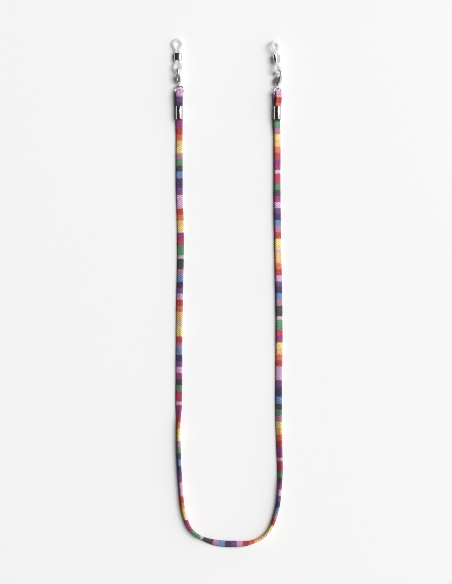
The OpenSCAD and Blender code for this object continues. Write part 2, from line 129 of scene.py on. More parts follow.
# Length of weave gathered inside each sleeve
GATHERED = {"left": 2.0, "right": 3.5}
YARNS = {
    "plum": (145, 63, 116), "red": (171, 70, 69), "orange": (207, 110, 82), "apricot": (240, 172, 119),
    "yellow": (232, 200, 127), "pink": (167, 116, 138), "green": (90, 130, 100), "charcoal": (69, 68, 72),
    "blue": (102, 128, 172), "indigo": (75, 55, 93), "violet": (107, 74, 120), "lilac": (198, 152, 184),
    "crimson": (170, 65, 94), "white": (192, 165, 176),
}

# Lobster clasps, along +Y from the middle of the tail eye
RIVET_Y, HOOK_Y = 4.4, 9.15
HOOK_R, HOOK_W, HOOK_T = 1.55, 0.95, 1.3
HOOK_TIP = 215
TAIL_HOLE_R, TAIL_RIM, TAIL_T = 1.0, 0.5, 0.8
WIRE_OFFSET = 0.4
BODY_T, SLOT_T = 2.4, 1.2
LEVER_T, LEVER_Z, LEVER_L = 0.7, -0.2, 3.72
LEVER_LEAN, LEVER_HUB_R = 26, 0.93
RIVET_R, RIVET_HEAD_R, RIVET_DOME = 0.45, 0.8, 0.2
COIL_R, COIL_WIRE_R, COIL_LOW, COIL_HIGH = 0.66, 0.1, 0.26, 0.5

# Rings and silicone loops
RING_R, WIRE_R, RING_CUT = 2.7, 0.375, 1.4
STRAND_R = 1.1
STRAND_SHRINK, FULLER_EYE, FULLER_L = 0.02, 0.05, 4
PAIR_X = 1.12
LOOP_L = 20.5
HOOK_EYE_R, HOOK_FLARE, HOOK_FLARE_R = 2.45, 25, 2
EYE_R, EYE_FLARE, EYE_FLARE_R = 2.7, 30, 3
FERRULE_Y, FERRULE_L, FERRULE_WALL, FERRULE_GAP = 7.1, 4.6, 0.22, 0.14
FERRULE_CORNER, FERRULE_WAIST, FERRULE_CROWN = 0.1, 0.05, 0.12

# ---------------------------------------------------------------- small helpers


def unit(v):
    v = np.asarray(v, float)
    return v / np.linalg.norm(v, axis=-1, keepdims=True)


def smooth(t):
    """Rises from 0 to 1 with level ends."""
    t = np.clip(t, 0, 1)
    return t * t * (3 - 2 * t)


def joint(name):
    return next(j for j in frame["joints"] if j["name"] == name)


def joint_pos(name):
    return np.array(joint(name)["pos_m"]) / MM


def joint_axis(name):
    return unit(joint(name)["axis"])


def node_centre(node):
    low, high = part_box(node)
    return np.array((low + high) / 2) / MM


def placed(x, y, origin):
    """Matrix in metres that takes millimetres of a local frame, given its X and Y axes and its origin."""
    x, y = unit(x), unit(y)
    z = unit(np.cross(x, y))
    m = np.eye(4)
    m[:3, 0], m[:3, 1], m[:3, 2], m[:3, 3] = x * MM, y * MM, z * MM, np.asarray(origin) * MM
    return Matrix(m.tolist())


def make_mesh(name, points, faces):
    mesh = bpy.data.meshes.new(name)
    mesh.from_pydata([tuple(p) for p in points], [], faces)
    mesh.polygons.foreach_set("use_smooth", [True] * len(mesh.polygons))
    mesh.update()
    return mesh


def make_object(name, mesh, material=None):
    obj = bpy.data.objects.new(name, mesh)
    bpy.context.scene.collection.objects.link(obj)
    if material:
        mesh.materials.clear()
        mesh.materials.append(material)
    return obj


def tube_faces(rings, around, closed, first=0):
    """Quads between rings of points, with the two ends capped if the tube isn't closed on itself."""
    faces = []
    for i in range(rings if closed else rings - 1):
        a, b = first + i * around, first + (i + 1) % rings * around
        for j in range(around):
            k = (j + 1) % around
            faces.append((a + j, a + k, b + k, b + j))
    if not closed:
        last = first + (rings - 1) * around
        faces.append(tuple(range(first + around - 1, first - 1, -1)))
        faces.append(tuple(range(last, last + around)))
    return faces


def sweep(path, side, half_w, half_t, around=24, closed=False, first=0, squareness=2.0):
    """Points and faces of an oval tube: half_w is measured along side and half_t across it."""
    path = np.asarray(path, float)
    n = len(path)
    if closed:
        tangent = unit(np.roll(path, -1, 0) - np.roll(path, 1, 0))
    else:
        tangent = unit(np.gradient(path, axis=0))
    side = np.broadcast_to(np.asarray(side, float), path.shape)
    side = unit(side - (side * tangent).sum(1)[:, None] * tangent)
    across = np.cross(side, tangent)
    angle = np.linspace(0, 2 * math.pi, around, endpoint=False)
    c, s = (np.sign(f) * np.abs(f) ** (2 / squareness) for f in (np.cos(angle), np.sin(angle)))
    half_w, half_t = (np.broadcast_to(h, n)[:, None, None] for h in (half_w, half_t))
    points = path[:, None] + side[:, None] * c[:, None] * half_w + across[:, None] * s[:, None] * half_t
    return points.reshape(-1, 3), tube_faces(n, around, closed, first)


def arc_points(centre, radius, start, end, count):
    """Points in the XY plane along an arc, angles in degrees from +X."""
    angle = np.radians(np.linspace(start, end, count))
    return np.stack([centre[0] + radius * np.cos(angle), centre[1] + radius * np.sin(angle), 0 * angle], 1)


def lathe(profile, around, cut=0, first=0):
    """Closed profile of (radius, height) turned about local Z, left open by cut degrees each side of +X."""
    if cut:
        angle = np.radians(np.linspace(cut, 360 - cut, around))
    else:
        angle = np.linspace(0, 2 * math.pi, around, endpoint=False)
    profile = np.asarray(profile, float)
    points = np.stack([np.outer(np.cos(angle), profile[:, 0]), np.outer(np.sin(angle), profile[:, 0]),
                       np.outer(np.ones(around), profile[:, 1])], 2).reshape(-1, 3)
    return points, tube_faces(around, len(profile), not cut, first)


def prism(outline, low, high, first=0):
    """Straight walls over an outline of (x, y), from height low to high."""
    n = len(outline)
    points = [(x, y, z) for z in (low, high) for x, y in outline]
    faces = [(first + i, first + (i + 1) % n, first + n + (i + 1) % n, first + n + i) for i in range(n)]
    faces.append(tuple(range(first + n - 1, first - 1, -1)))
    faces.append(tuple(range(first + n, first + 2 * n)))
    return np.array(points), faces


def rounded_strip(half_l, half_t, corner, count=5):
    """Closed outline of a wall's section: half_l along it, half_t through it, with round corners."""
    outline = []
    for sx, sy, start in ((1, 1, 0), (-1, 1, 90), (-1, -1, 180), (1, -1, 270)):
        for angle in np.radians(np.linspace(start, start + 90, count)):
            outline.append((sx * (half_t - corner) + corner * math.cos(angle),
                            sy * (half_l - corner) + corner * math.sin(angle)))
    return np.array(outline)


class Parts:
    """Collects closed shapes, in millimetres, that become one mesh."""

    def __init__(self):
        self.points, self.faces = [], []

    def add(self, shape, *arguments, **settings):
        points, faces = shape(*arguments, first=sum(len(p) for p in self.points), **settings)
        self.points.append(points)
        self.faces += faces
        return self

    def mesh(self, name):
        return make_mesh(name, np.concatenate(self.points), self.faces)


def cast(parts, name, voxel, rounds):
    """Melts overlapping shapes into one smooth casting: a voxel remesh, then smoothing."""
    obj = make_object(name + "_rough", parts.mesh(name + "_rough"))
    remesh = obj.modifiers.new("melt", "REMESH")
    remesh.mode = "VOXEL"
    remesh.voxel_size = voxel
    smoothing = obj.modifiers.new("polish", "SMOOTH")
    smoothing.factor = 0.5
    smoothing.iterations = rounds
    bpy.context.view_layer.update()
    evaluated = obj.evaluated_get(bpy.context.evaluated_depsgraph_get())
    mesh = bpy.data.meshes.new_from_object(evaluated)
    mesh.name = name
    bpy.data.objects.remove(obj)
    mesh.polygons.foreach_set("use_smooth", [True] * len(mesh.polygons))
    return mesh


# ---------------------------------------------------------------- materials


class Nodes:
    """A node tree with short ways to add and join nodes."""

    def __init__(self, material):
        material.use_nodes = True
        self.tree = material.node_tree
        self.tree.nodes.clear()
        self.output = self.tree.nodes.new("ShaderNodeOutputMaterial")
        self.shader = self.add("ShaderNodeBsdfPrincipled")
        self.join(self.shader.outputs[0], self.output.inputs["Surface"])

    def add(self, kind, **inputs):
        node = self.tree.nodes.new(kind)
        for key, value in inputs.items():
            self.put(node.inputs[key.replace("_", " ")], value)
        return node

    def put(self, socket, value):
        if isinstance(value, bpy.types.NodeSocket):
            self.tree.links.new(value, socket)
        else:
            socket.default_value = value

    def join(self, a, b):
        self.tree.links.new(a, b)

    def math(self, operation, a, b=0.0):
        node = self.tree.nodes.new("ShaderNodeMath")
        node.operation = operation
        self.put(node.inputs[0], a)
        self.put(node.inputs[1], b)
        return node.outputs[0]

    def ramp(self, value, low, high, out_low=0.0, out_high=1.0):
        node = self.add("ShaderNodeMapRange")
        node.interpolation_type = "SMOOTHSTEP"
        for socket, v in zip(node.inputs, (value, low, high, out_low, out_high)):
            self.put(socket, v)
        return node.outputs[0]

    def mix(self, factor, a, b, blend="MIX"):
        node = self.tree.nodes.new("ShaderNodeMix")
        node.data_type = "RGBA"
        node.blend_type = blend
        self.put(node.inputs["Factor"], factor)
        self.put(node.inputs["A"], a)
        self.put(node.inputs["B"], b)
        return node.outputs["Result"]

    def noise(self, vector, scale, detail=2.0, roughness=0.5):
        node = self.add("ShaderNodeTexNoise", Vector=vector, Scale=scale, Detail=detail, Roughness=roughness)
        return node.outputs["Fac"]

    def bump(self, height, distance, strength=1.0, normal=None):
        node = self.add("ShaderNodeBump", Height=height, Distance=distance, Strength=strength)
        if normal:
            self.join(normal, node.inputs["Normal"])
        return node.outputs["Normal"]

    def set(self, **inputs):
        for key, value in inputs.items():
            self.put(self.shader.inputs[key.replace("_", " ")], value)


def linear(rgb):
    """sRGB numbers up to 255 as a linear colour."""
    c = np.array(rgb) / 255
    c = np.where(c <= 0.04045, c / 12.92, ((c + 0.055) / 1.055) ** 2.4)
    return (*c.tolist(), 1.0)


def yarn_material(name, rgb):
    """Dyed cotton twill: ribs, flecks of the yarns that cross under, slubs and loose fibre, with painted
    shade in the valleys between the ribs and a painted highlight on the rib crests.
    """
    material = bpy.data.materials.new("yarn_" + name)
    n = Nodes(material)
    place = n.add("ShaderNodeUVMap").outputs["UV"]
    parts = n.add("ShaderNodeSeparateXYZ", Vector=place).outputs
    colour = linear(rgb)
    light = tuple(min(1.9 * c + 0.05, 1) for c in colour[:3]) + (1.0,)
    dark = tuple(0.28 * c for c in colour[:3]) + (1.0,)
    over = n.math("SUBTRACT", parts[0], parts[1])
    along = n.math("MULTIPLY", n.math("ADD", parts[0], parts[1]), 0.45)
    rib = n.math("COSINE", n.math("MULTIPLY", over, 2 * math.pi))
    # Masks for painted light: painted shade in the valleys between the ribs, and a painted highlight on
    # their crests
    painted_shade_valley = n.ramp(rib, -1.0, 0.3, 1.0, 0.0)
    painted_highlight_crest = n.ramp(rib, 0.2, 1.0, 0.0, 1.0)
    in_ribs = n.add("ShaderNodeCombineXYZ", X=over, Y=along).outputs[0]
    slub = n.noise(place, 0.35, 3.0)
    fleck = n.noise(in_ribs, 1.5, 1.0)
    fibre = n.noise(place, 9.0, 3.0, 0.65)
    base = n.mix(n.ramp(slub, 0.35, 0.68, 0.0, 0.16), colour, light)
    base = n.mix(n.ramp(fleck, 0.56, 0.7, 0.0, 0.6), base, light)
    base = n.mix(n.ramp(fleck, 0.42, 0.3, 0.0, 0.6), base, dark)
    # Painted highlight: the rib crests are mixed towards the lighter colour
    base = n.mix(n.math("MULTIPLY", painted_highlight_crest, 0.3), base, light)
    # Painted shade: the valleys between the ribs are mixed towards the darker colour
    base = n.mix(n.math("MULTIPLY", painted_shade_valley, 0.42), base, dark)
    base = n.mix(n.ramp(fibre, 0.35, 0.75, 0.0, 0.22), base, light)
    normal = n.bump(fibre, 0.00006, 0.7, n.bump(rib, 0.00012, 0.8))
    n.set(Base_Color=base, Roughness=n.ramp(fibre, 0.3, 0.7, 0.5, 0.8), Normal=normal)
    n.set(Sheen_Weight=0.02, Sheen_Roughness=0.5, Specular_IOR_Level=0.12)
    return material


def thread_material():
    """Muted plum thread of the seam."""
    material = bpy.data.materials.new("seam_thread")
    n = Nodes(material)
    place = n.add("ShaderNodeUVMap").outputs["UV"]
    strands = n.noise(place, 14.0, 2.0)
    n.set(Base_Color=n.mix(strands, linear((96, 60, 84)), linear((128, 88, 112))), Roughness=0.6)
    n.set(Normal=n.bump(strands, 0.00004, 0.6))
    return material


def metal_material(name, tint, roughness, wear):
    """Plated metal: faint clouding, hairline scratches and a little more wear on raised edges."""
    material = bpy.data.materials.new(name)
    n = Nodes(material)
    place = n.add("ShaderNodeTexCoord").outputs["Object"]
    stretched = n.add("ShaderNodeMapping", Vector=place, Scale=(9000, 1200, 9000)).outputs["Vector"]
    hairlines = n.noise(stretched, 1.0, 3.0, 0.7)
    clouds = n.noise(place, 420.0, 3.0)
    edges = n.ramp(n.add("ShaderNodeNewGeometry").outputs["Pointiness"], 0.5, 0.62)
    worn = tuple(0.72 * c for c in tint) + (1.0,)
    base = n.mix(n.ramp(clouds, 0.35, 0.75, 0.0, 0.25), (*tint, 1.0), worn)
    base = n.mix(n.math("MULTIPLY", edges, wear), base, (0.95, 0.95, 0.95, 1.0))
    scratched = n.ramp(hairlines, 0.35, 0.75, roughness, roughness + 0.1)
    scratched = n.math("ADD", scratched, n.math("MULTIPLY", clouds, 0.05))
    n.set(Base_Color=base, Metallic=1.0, Roughness=scratched, Normal=n.bump(hairlines, 0.000004, 0.35))
    return material


def silicone_material():
    """Milky silicone with a satin skin and a trace of dust."""
    material = bpy.data.materials.new("milky_silicone")
    n = Nodes(material)
    place = n.add("ShaderNodeTexCoord").outputs["Object"]
    haze = n.noise(place, 700.0, 2.0)
    dust = n.noise(place, 5200.0, 1.0)
    base = n.mix(n.ramp(haze, 0.3, 0.7), (0.82, 0.82, 0.80, 1.0), (0.88, 0.88, 0.865, 1.0))
    n.set(Base_Color=base, Specular_IOR_Level=0.15, Alpha=0.4)
    n.set(Roughness=n.ramp(dust, 0.45, 0.75, 0.3, 0.5), Normal=n.bump(haze, 0.00003, 0.25))
    return material


yarns = {name: yarn_material(name, rgb) for name, rgb in YARNS.items()}
seam_thread = thread_material()
plated = metal_material("bright_nickel", (0.66, 0.65, 0.62), 0.12, 0.2)
ring_nickel = metal_material("ring_nickel", (0.40, 0.40, 0.38), 0.2, 0.2)
tumbled = metal_material("tumbled_nickel", (0.66, 0.66, 0.64), 0.42, 0.2)
spring_steel = metal_material("spring_wire_steel", (0.52, 0.52, 0.53), 0.24, 0.2)
silicone = silicone_material()

# ---------------------------------------------------------------- cord: where it runs


# Longer than any straight run past the last turn
STRAIGHT_ON = 1000


def sleeve_low(side):
    """Middle of the sleeve's lower end."""
    return node_centre(side + "_crimp_sleeve") - SLEEVE_L / 2 * Y_AXIS


def end_axes(side):
    """Directions across a crimped end: along the ring's wire, and out of the cord's face."""
    across = joint_axis(side + "_ring_swing")
    return across, unit(np.cross(across, Y_AXIS))


def outward_sign(side):
    return -1 if side == "left" else 1


def on_side(s, side):
    """Which places along the cord are on that side: below zero on the left, from zero up on the right."""
    return s < 0 if side == "left" else s >= 0


def route(side):
    """Steps of one half, closed so that it arrives at its sleeve parallel to Y."""
    steps = list(STEPS[side])
    start = -outward_sign(side) * NECK_SLOPE
    steps.append((CLOSING_ARC, 90 - start - sum(turn for _, turn in steps)))
    return steps, start


def walk(side, distances):
    """Places and headings at distances from the neck's middle, drawn towards +X for both sides."""
    steps, heading = route(side)
    x = y = walked = 0.0
    place = np.zeros((len(distances), 3))
    for length, turn in steps + [(STRAIGHT_ON, 0)]:
        on_step = (distances >= walked) & (distances <= walked + length)
        bend = math.radians(turn) / length
        for mask, d in ((on_step, distances[on_step] - walked), (None, np.array([float(length)]))):
            h = math.radians(heading)
            if abs(bend) < 1e-9:
                px, py = x + d * math.cos(h), y + d * math.sin(h)
            else:
                px = x + (np.sin(h + bend * d) - math.sin(h)) / bend
                py = y - (np.cos(h + bend * d) - math.cos(h)) / bend
            if mask is not None:
                place[mask] = np.stack([px, py, 0 * px], 1)
        x, y, heading, walked = px[0], py[0], heading + turn, walked + length
    place[:, 0] *= outward_sign(side)
    return place


def strand_length(side):
    """Distance along the cord from the neck's middle to the sleeve."""
    steps, _ = route(side)
    total = sum(length for length, _ in steps)
    return total + sleeve_low(side)[1] - walk(side, np.array([float(total)]))[0, 1]


def fold_leg(side):
    """Length of the cord between the sleeve and the ring."""
    return joint_pos(side + "_ring_swing")[1] - sleeve_low(side)[1] - SLEEVE_L


def end_length(side):
    return SLEEVE_L + 2 * fold_leg(side) + math.pi * LAYER_R + TAIL_L


def end_path(side, past):
    """Cord past the sleeve's lower end: up its back, over the ring and down its front into the sleeve."""
    across, out = end_axes(side)
    leg, turn = fold_leg(side), math.pi * LAYER_R
    up = past - SLEEVE_L
    down = past - SLEEVE_L - leg - turn
    angle = np.clip(up - leg, 0, turn) / LAYER_R
    apart = PRESSED + (LAYER_R - PRESSED) * smooth(np.where(down > 0, leg - down, up) / leg)
    rise = np.where(up < leg, past, SLEEVE_L + leg + LAYER_R * np.sin(angle) - np.maximum(down, 0))
    layer = np.where(up < leg, -apart, np.where(down > 0, apart, -LAYER_R * np.cos(angle)))
    return sleeve_low(side) + rise[:, None] * Y_AXIS + layer[:, None] * out


def section(count):
    """Unit points round the cord's rounded section, evenly spaced along its edge, from the right side up."""
    angle = np.linspace(0, 2 * math.pi, 4001)
    c, s = (np.sign(f) * np.abs(f) ** (2 / SQUARENESS) for f in (np.cos(angle), np.sin(angle)))
    step = np.hypot(np.diff(c * CORD_W), np.diff(s * CORD_T))
    run = np.concatenate([[0], np.cumsum(step)]) / step.sum()
    even = np.arange(count) / count
    return np.interp(even, run, c), np.interp(even, run, s)


def cord_shape():
    """Centre, directions and size of every ring of the cord, from the left tail to the right tail."""
    lengths = {side: strand_length(side) for side in SIDES}
    low, high = -lengths["left"] - end_length("left"), lengths["right"] + end_length("right")
    s = np.linspace(low, high, int((high - low) / RING_SPACING))
    centre, roll = np.zeros((len(s), 3)), np.zeros(len(s))
    for side in SIDES:
        mine = on_side(s, side)
        d = np.abs(s[mine])
        centre[mine] = walk(side, np.minimum(d, lengths[side]))
        keys = np.array(ROLLS[side], float)
        roll[mine] = np.radians(np.interp(d, keys[:, 0], keys[:, 1]))
    blur = np.hanning(2 * ROLL_BLUR + 1)
    blur /= blur.sum()
    roll = np.convolve(np.pad(roll, ROLL_BLUR, mode="edge"), blur, "valid")
    tangent = unit(np.gradient(centre, axis=0) + 1e-9 * Y_AXIS)
    right = unit(np.cross(tangent, Z_AXIS))
    front = np.cos(roll)[:, None] * Z_AXIS + np.sin(roll)[:, None] * right
    wide = np.cross(tangent, front)
    cx, cy = section(AROUND)
    half_w, half_t = CORD_W / 2, CORD_T / 2
    lowest = (np.outer(wide[:, 2], cx * half_w) + np.outer(front[:, 2], cy * half_t)).min(1)
    centre[:, 2] = -lowest
    d = np.abs(s)
    for side in SIDES:
        past = on_side(s, side) & (d > lengths[side] - SETTLE)
        share = smooth((d[past] - lengths[side] + SETTLE) / SETTLE)[:, None]
        centre[past] += share * (end_path(side, d[past] - lengths[side]) - centre[past])
    tangent = unit(np.gradient(centre, axis=0))
    for side in SIDES:
        across, _ = end_axes(side)
        past = on_side(s, side) & (d > lengths[side])
        wide[past] = across * outward_sign(side)
    wide = unit(wide - (wide * tangent).sum(1)[:, None] * tangent)
    front = np.cross(wide, tangent)
    return s, centre, wide, front, lengths


def relief(s, count):
    """Height of the twill above the cord's mean surface: ribs of floats, and the seam down the back."""
    around = np.arange(count) / count
    phase = s[:, None] / RIB_PITCH - around * RIBS_AROUND
    rib = 0.5 + 0.5 * np.cos(2 * math.pi * phase)
    floats = 0.5 + 0.5 * np.cos(2 * math.pi * (s[:, None] / RIB_PITCH * 2 + around * RIBS_AROUND))
    height = RIB_HEIGHT * (rib ** 0.8 - 0.5 + 0.25 * (floats - 0.5))
    # Close to the length round the rounded section
    girth = (CORD_W + CORD_T) * 1.75
    off_seam = (around - SEAM_AT) * girth
    groove = -GROOVE_DEPTH * np.exp(-((off_seam / GROOVE_W) ** 2))
    sewn = (np.sin(2 * math.pi * s / STITCH_PITCH) > -0.25)[:, None]
    stitch = STITCH_HEIGHT * np.exp(-((off_seam / STITCH_W) ** 2)) * sewn
    uneven = 0.03 * np.sin(s / 7.3) + 0.02 * np.sin(s / 3.1 + 1)
    return height + groove + stitch + uneven[:, None], np.abs(off_seam) < STITCH_W


def squeeze(points, side):
    """Keeps the cord inside the sleeve's bore and lets it spring open past its two mouths."""
    across, out = end_axes(side)
    local = points - sleeve_low(side)
    x, y, z = local @ across, local @ Y_AXIS, local @ out
    outside = np.maximum(np.maximum(-y, y - SLEEVE_L), 0)
    limit = SLEEVE_R - SLEEVE_WALL - BORE_PLAY + SPRING_OPEN * smooth(outside / MOUTH)
    r = np.maximum(np.hypot(x, z), 1e-6)
    scale = np.where((outside < MOUTH) & (r > limit), limit / r, 1)
    return points + (scale - 1)[:, None] * (np.outer(x, across) + np.outer(z, out))


def stripe_at(s, start):
    """Number of the stripe at a place along the cord."""
    widths = np.array([w for _, w in REPEAT])
    edges = np.cumsum(widths)
    return np.searchsorted(edges, (s - start) % edges[-1], side="right") % len(REPEAT)


def cord_points(s, centre, wide, front, lengths, height):
    """Points of every ring of the cord, with the twill's relief, squeezed into the sleeves."""
    cx, cy = section(AROUND)
    nx, ny = cx / (CORD_W / 2), cy / (CORD_T / 2)
    size = np.hypot(nx, ny)
    nx, ny = nx / size, ny / size
    inset = RIB_HEIGHT * 0.6
    px = cx * (CORD_W / 2 - inset) + nx * height
    py = cy * (CORD_T / 2 - inset) + ny * height
    points = centre[:, None] + wide[:, None] * px[..., None] + front[:, None] * py[..., None]
    for side in SIDES:
        near = (np.abs(s) > lengths[side] - MOUTH) & on_side(s, side)
        points[near] = squeeze(points[near].reshape(-1, 3), side).reshape(-1, AROUND, 3)
    return points


def cord_runs(side, end):
    """Runs of cord that each cross one joint.

    Each has a name, a start and an end, its two bodies, the joint's place, how far the bend reaches to each
    side, and the part of the CAD cord that it stands for.
    """
    upto = np.cumsum([length for length, _ in STEPS[side]])
    neck, bend, lower = (upto[steps - 1] for steps in (NECK_STEPS, BEND_STEPS, LOWER_STEPS))
    first, second = (neck + bend) / 2, (bend + lower) / 2
    return (
        ("_cord_neck", 0, first, "neck", side + "_bend", neck, NECK_REACH, "_bend"),
        ("_cord_bend", first, second, side + "_bend", side + "_lower", bend, BEND_REACH, "_lower"),
        ("_cord_end", second, end + 1, side + "_lower", side + "_upper", lower, LOWER_REACH, "_upper"),
    )


def weave_start():
    """Place along the cord where a repeat of the stripes starts."""
    keys = np.linspace(0, 200, 2001)
    return -np.interp(REPEAT_START_Y, walk("left", keys)[:, 1], keys)


def make_cord():
    """The six pieces of the cord, each crossing one joint."""
    s, centre, wide, front, lengths = cord_shape()
    height, on_seam = relief(s, AROUND)
    points = cord_points(s, centre, wide, front, lengths, height)
    # Pieces that meet share a ring of points, so that no gap shows between them
    slack = RING_SPACING * 0.51
    for side in SIDES:
        sign = outward_sign(side)
        runs = cord_runs(side, lengths[side] + end_length(side))
        for name, near, far, body_a, body_b, crossing, bend_reach, stood_for in runs:
            inside = np.flatnonzero((s * sign >= near - slack) & (s * sign < far + slack))
            mesh = make_mesh(side + name, points[inside].reshape(-1, 3) * MM,
                             tube_faces(len(inside), AROUND, False))
            woven = s[inside] + sign * GATHERED[side] * smooth((s[inside] * sign - lengths[side]) / SLEEVE_L)
            folded = s[inside][:-1] * sign > lengths[side] + SLEEVE_L
            dress_cord(mesh, s[inside], woven, folded, on_seam, weave_start())
            obj = make_object(side + name, mesh)
            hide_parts(side + stood_for + "_sheath", side + stood_for + "_filler")
            if name == "_cord_neck" and side == "left":
                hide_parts("neck_sheath", "neck_filler")
            a, b = walk(side, np.array([crossing - bend_reach, crossing + bend_reach], float)) * MM
            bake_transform(obj)


def dress_cord(mesh, s, woven, folded, on_seam, start):
    """Gives every face its yarn, with edges of stripes a little ragged, and maps the weave in ribs.

    Past the sleeve the seam is sewn with thread of the stripe's own colour.
    """
    slots = list(YARNS)
    for name in slots:
        mesh.materials.append(yarns[name])
    mesh.materials.append(seam_thread)
    rows, columns = len(s) - 1, AROUND
    j = np.arange(columns)
    ragged = 0.22 * np.sin(j * 2.4) + 0.12 * np.sin(j * 5.1 + 1)
    place = (woven[:-1] + woven[1:])[:, None] / 2 + ragged
    stripe = stripe_at(place, start)
    index = np.array([slots.index(name) for name, _ in REPEAT])[stripe]
    sewn = (np.sin(2 * math.pi * s[:-1] / STITCH_PITCH) > -0.1) & ~folded
    index = np.where(on_seam[None, :] & sewn[:, None], len(slots), index)
    caps = [index[0, 0], index[-1, 0]]
    mesh.polygons.foreach_set("material_index", np.concatenate([index.ravel(), caps]).astype(np.int32))
    uv = mesh.uv_layers.new(name="weave")
    along = s / RIB_PITCH
    u = np.stack([along[:-1], along[:-1], along[1:], along[1:]], 1)[:, None].repeat(columns, 1)
    around = np.stack([j, j + 1, j + 1, j], 1) / columns * RIBS_AROUND
    v = around[None].repeat(rows, 0)
    ends = np.zeros((2 * columns, 2))
    ends[:columns, 0], ends[columns:, 0] = along[0], along[-1]
    coords = np.concatenate([np.stack([u, v], -1).reshape(-1, 2), ends])
    uv.data.foreach_set("uv", coords.astype(np.float32).ravel())


# ---------------------------------------------------------------- crimp sleeves and ferrules


def make_sleeve(side):
    """Drawn tube with rolled rims, and the fine joint down its back."""
    across, out = end_axes(side)
    strip = rounded_strip(SLEEVE_L / 2, SLEEVE_WALL / 2, SLEEVE_CORNER)
    from_bead = np.abs(strip[:, 1]) - SLEEVE_L / 2 + BEAD_IN
    bead = BEAD_HEIGHT * np.exp(-(from_bead / BEAD_W) ** 2) * (strip[:, 0] > 0)
    wall_middle = SLEEVE_R - SLEEVE_WALL / 2 - SLEEVE_SHRINK
    profile = np.stack([wall_middle + strip[:, 0] + bead, strip[:, 1]], 1)
    parts = Parts().add(lathe, profile, 96, SLEEVE_JOINT)
    obj = make_object(side + "_sleeve_shell", parts.mesh(side + "_sleeve_shell"), plated)
    centre = sleeve_low(side) + SLEEVE_L / 2 * Y_AXIS
    obj.data.transform(placed(-out, -across, centre))
    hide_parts(side + "_crimp_sleeve")
    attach(obj, side + "_upper")


def stadium_path(half_straight, radius, count):
    """Closed path round two side-by-side strands."""
    right = arc_points((half_straight, 0), radius, -90, 90, count)
    left = arc_points((-half_straight, 0), radius, 90, 270, count)
    across = half_straight * np.linspace(1, -1, 13)[1:-1]
    top = np.stack([across, radius + 0 * across, 0 * across], 1)
    return np.concatenate([right, top, left, -top])


def loop_axes(side):
    """The loop's frame: where it hangs in the hook, its X and its Y."""
    swing = side + "_loop_swing"
    return joint_pos(swing), joint_axis(swing), joint_axis(side + "_ferrule_slide")


def make_ferrule(side):
    """Flattened band that slides on both silicone strands: soft rims, a slight waist, crowned faces."""
    origin, x, y = loop_axes(side)
    radius = STRAND_R + FERRULE_GAP + FERRULE_WALL / 2
    path = stadium_path(PAIR_X, radius, 24)
    tangent = unit(np.roll(path, -1, 0) - np.roll(path, 1, 0))
    outward = np.cross(tangent, Z_AXIS)
    strip = rounded_strip(FERRULE_L / 2, FERRULE_WALL / 2, FERRULE_CORNER)
    waist = -FERRULE_WAIST * np.cos(np.clip(strip[:, 1] / (FERRULE_L / 2), -1, 1) * math.pi / 2) ** 2
    crown = FERRULE_CROWN * np.clip(1 - (path[:, 0] / (PAIR_X + radius / 2)) ** 2, 0, 1)
    across = (strip[:, 0] + waist)[None, :] + crown[:, None]
    points = path[:, None] + outward[:, None] * across[..., None] + Z_AXIS * strip[:, 1][:, None]
    mesh = make_mesh(side + "_ferrule_band", points.reshape(-1, 3), tube_faces(len(path), len(strip), True))
    obj = make_object(side + "_ferrule_band", mesh, plated)
    centre = origin + (FERRULE_Y + FERRULE_L / 2) * y
    obj.data.transform(placed(x, -np.cross(x, y), centre))
    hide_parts(side + "_loop_ferrule")
    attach(obj, side + "_ferrule")


# ---------------------------------------------------------------- silicone loops

# Fine steps of the strand's line for each point kept, and how many of them its bends are blurred over
FINE_STEPS = 8
BEND_BLUR = 24


def loop_path(spacing=0.25):
    """Middle of the silicone strand, once round both eyes."""
    def run(r, flare, flare_r):
        a = math.radians(flare)
        return (r * math.cos(a) - PAIR_X - flare_r * (1 - math.cos(a))) / math.sin(a)

    def height(r, flare, flare_r):
        a = math.radians(flare)
        return r * (1 + math.sin(a)) + run(r, flare, flare_r) * math.cos(a) + flare_r * math.sin(a)

    hook_run = run(HOOK_EYE_R, HOOK_FLARE, HOOK_FLARE_R)
    eye_run = run(EYE_R, EYE_FLARE, EYE_FLARE_R)
    pair = LOOP_L - height(HOOK_EYE_R, HOOK_FLARE, HOOK_FLARE_R) - height(EYE_R, EYE_FLARE, EYE_FLARE_R)
    steps = (
        (HOOK_EYE_R * math.radians(90 + HOOK_FLARE), 90 + HOOK_FLARE), (hook_run, 0),
        (HOOK_FLARE_R * math.radians(HOOK_FLARE), -HOOK_FLARE), (pair, 0),
        (EYE_FLARE_R * math.radians(EYE_FLARE), -EYE_FLARE), (eye_run, 0),
        (EYE_R * math.radians(90 + EYE_FLARE), 90 + EYE_FLARE),
    )
    total = sum(length for length, _ in steps)
    count = int(total / spacing)
    at = np.linspace(0, total, FINE_STEPS * count)
    ends = np.cumsum([length for length, _ in steps])
    bends = np.array([math.radians(turn) / length for length, turn in steps])
    bend = bends[np.minimum(np.searchsorted(ends, at), len(steps) - 1)]
    blur = np.hanning(2 * BEND_BLUR + 1)
    blur /= blur.sum()
    bend = np.convolve(np.pad(bend, BEND_BLUR, mode="reflect"), blur, "valid")
    heading = np.concatenate([[0], np.cumsum((bend[1:] + bend[:-1]) / 2 * np.diff(at))])
    heading *= math.pi / heading[-1]
    dx, dy = np.cos(heading), np.sin(heading)
    x = np.concatenate([[0], np.cumsum((dx[1:] + dx[:-1]) / 2 * np.diff(at))])
    y = np.concatenate([[0], np.cumsum((dy[1:] + dy[:-1]) / 2 * np.diff(at))])
    x -= x[-1] * at / total
    y *= LOOP_L / y[-1]
    half = np.stack([x, y, 0 * x], 1)[::FINE_STEPS]
    half[-1] = (0, LOOP_L, 0)
    other = half[-2:0:-1] * (-1, 1, 1)
    return np.concatenate([half, other])


